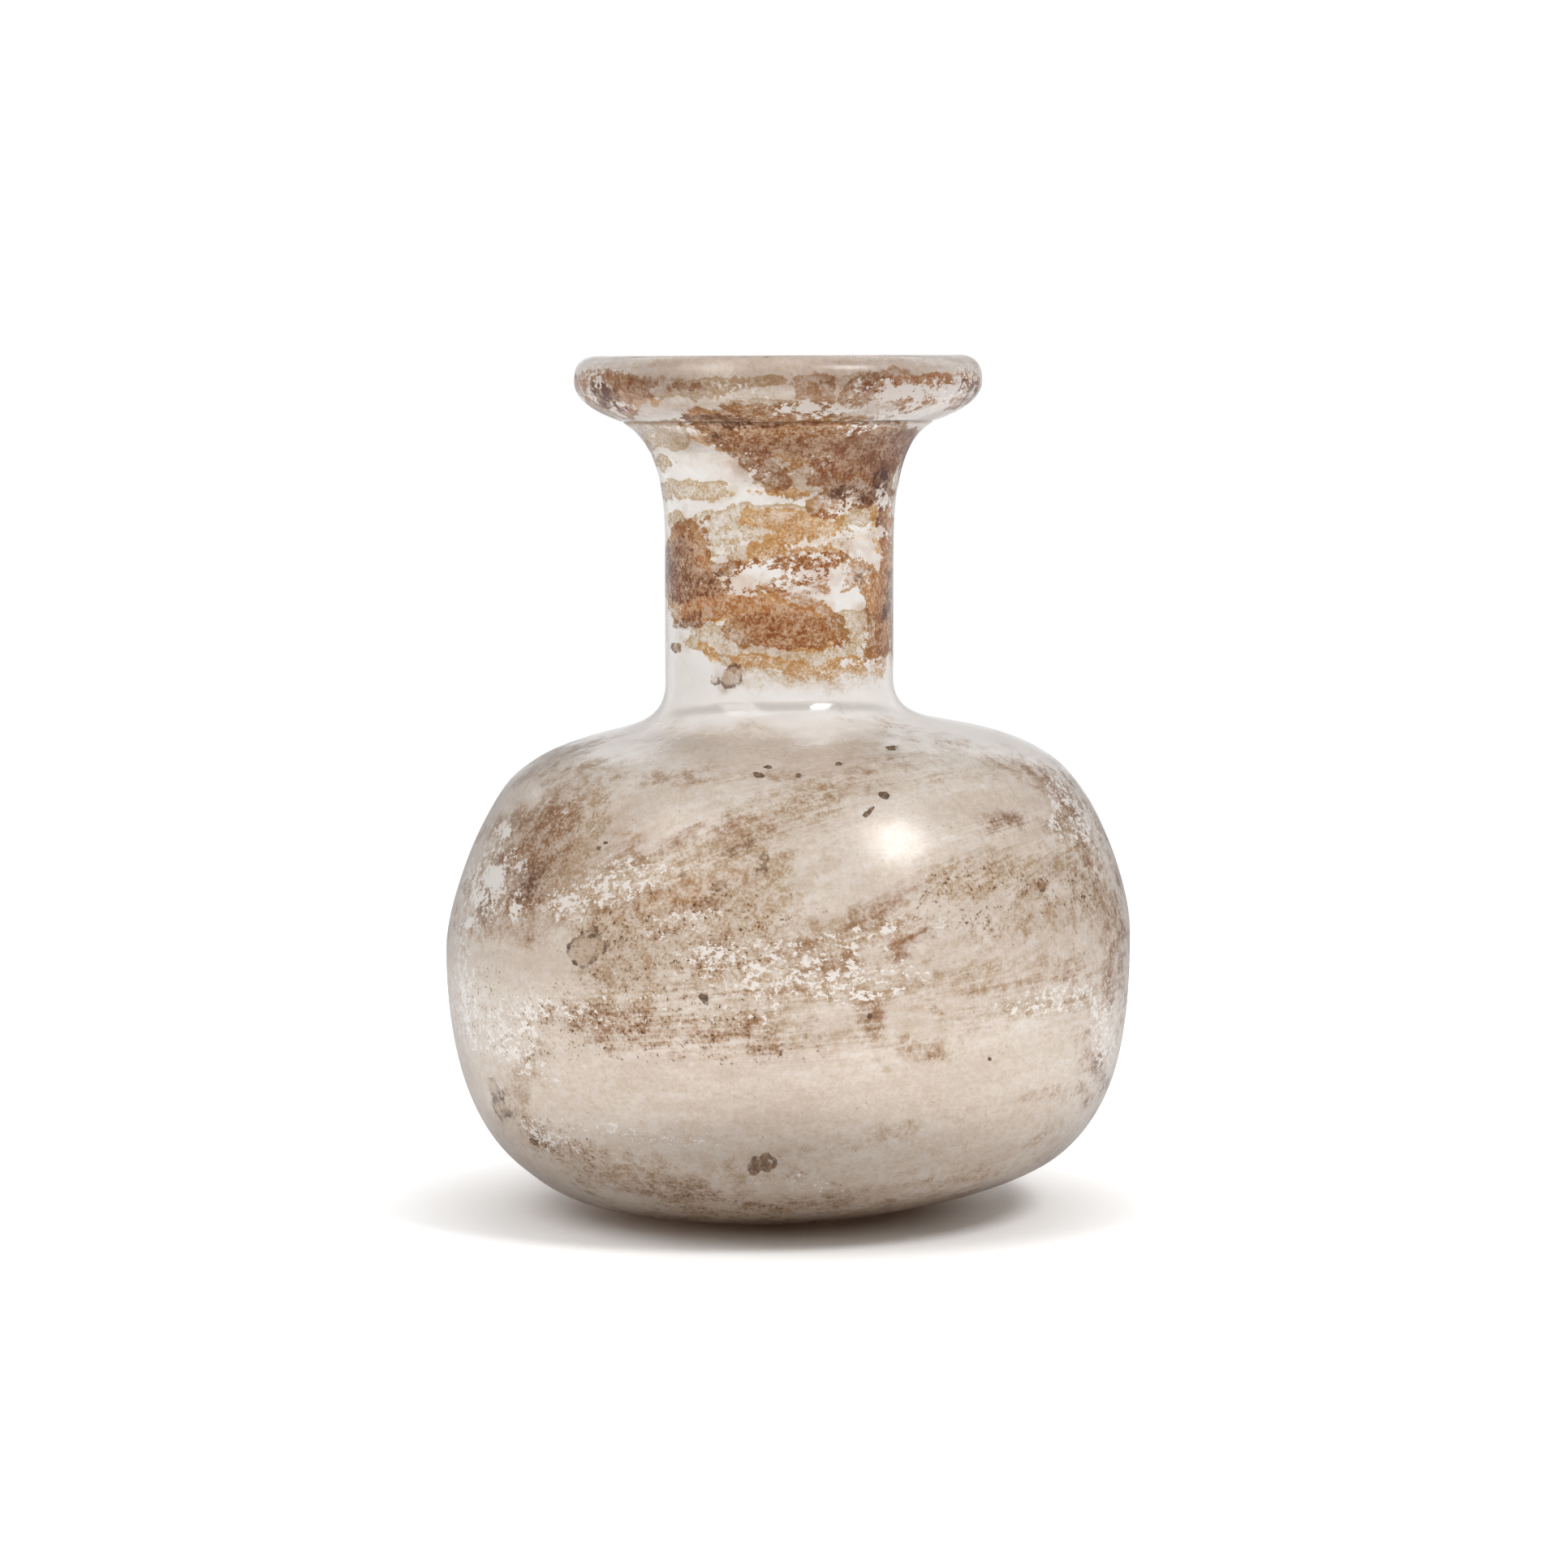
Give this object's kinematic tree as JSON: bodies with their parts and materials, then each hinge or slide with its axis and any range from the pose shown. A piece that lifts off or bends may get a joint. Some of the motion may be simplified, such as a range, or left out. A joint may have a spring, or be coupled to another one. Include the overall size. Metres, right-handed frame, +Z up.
{
  "type": "glass perfume flask",
  "caption": "Ancient blown glass perfume flask: squat round body on a small ring foot, slim neck, flared mouth with a thick folded collar; holds and pours oil.",
  "frame": {"origin": "on the ground, under the middle of the bounding box", "axes": "+Z up through the neck; -Y towards the side that the picture shows; +X to that side's right"},
  "size_m": [0.0706, 0.0706, 0.0881],
  "materials": {
    "weathered_glass": "thin clear glass, dulled and stained tan and brown by burial, with clear windows where the crust has flaked off"
  },
  "bodies": {
    "root": {"flask": "weathered_glass"}
  },
  "joints": []
}
